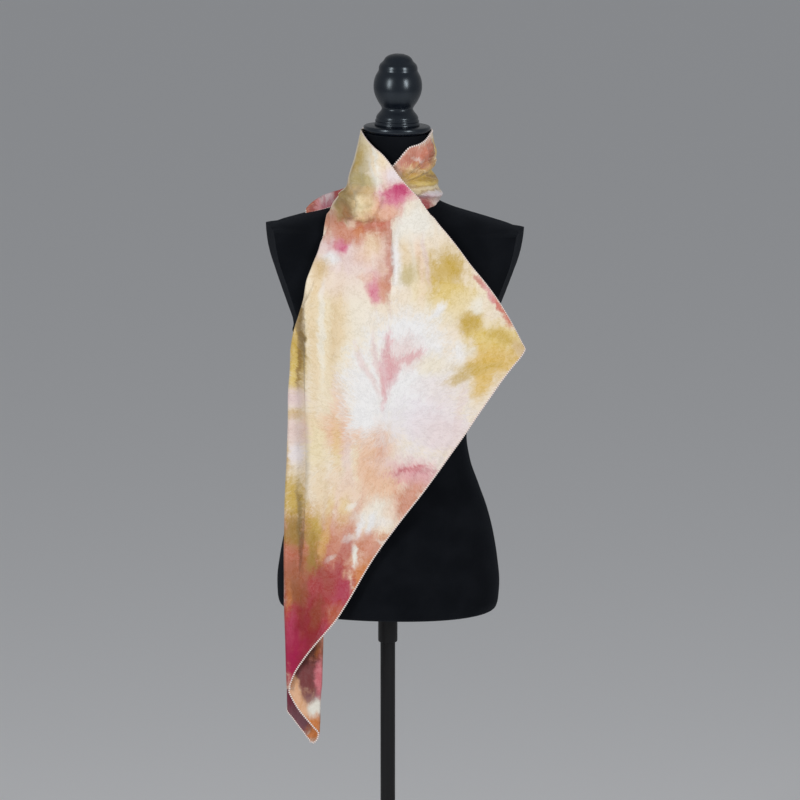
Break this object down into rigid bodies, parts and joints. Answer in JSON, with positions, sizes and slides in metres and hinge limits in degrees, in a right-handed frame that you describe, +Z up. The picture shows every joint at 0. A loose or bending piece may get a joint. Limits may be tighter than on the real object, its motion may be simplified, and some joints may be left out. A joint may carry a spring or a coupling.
{
  "type": "square scarf on a dress form",
  "caption": "Square silk scarf wound round the neck of a limbless dress form on a pole stand, one corner hanging in a wide panel with a folded tail.",
  "frame": {"origin": "middle of the base's underside, on the floor under the pole", "axes": "+Z up along the pole, the front of the form and the scarf faces -Y, +X to the form's left"},
  "size_m": [0.3789, 0.34, 1.5238],
  "materials": {
    "silk": "thin silk satin, hand dyed in soft clouds of cream, peach, rose and gold, with a soft sheen",
    "velvet": "matt black short-pile stretch velvet",
    "black_wood": "turned wood, black satin lacquer",
    "black_steel": "black powder coat with a low sheen"
  },
  "bodies": {
    "root": {"scarf_front_panel": "silk", "scarf_under_fold": "silk", "scarf_tail": "silk", "scarf_neck_left": "silk", "scarf_neck_wrap": "silk", "scarf_end": "silk", "form_torso": "velvet", "neck_disc": "black_wood", "finial": "black_wood", "stand_base": "black_steel", "stand_socket": "black_steel", "stand_pole": "black_steel", "stand_collar": "black_steel"}
  },
  "joints": []
}
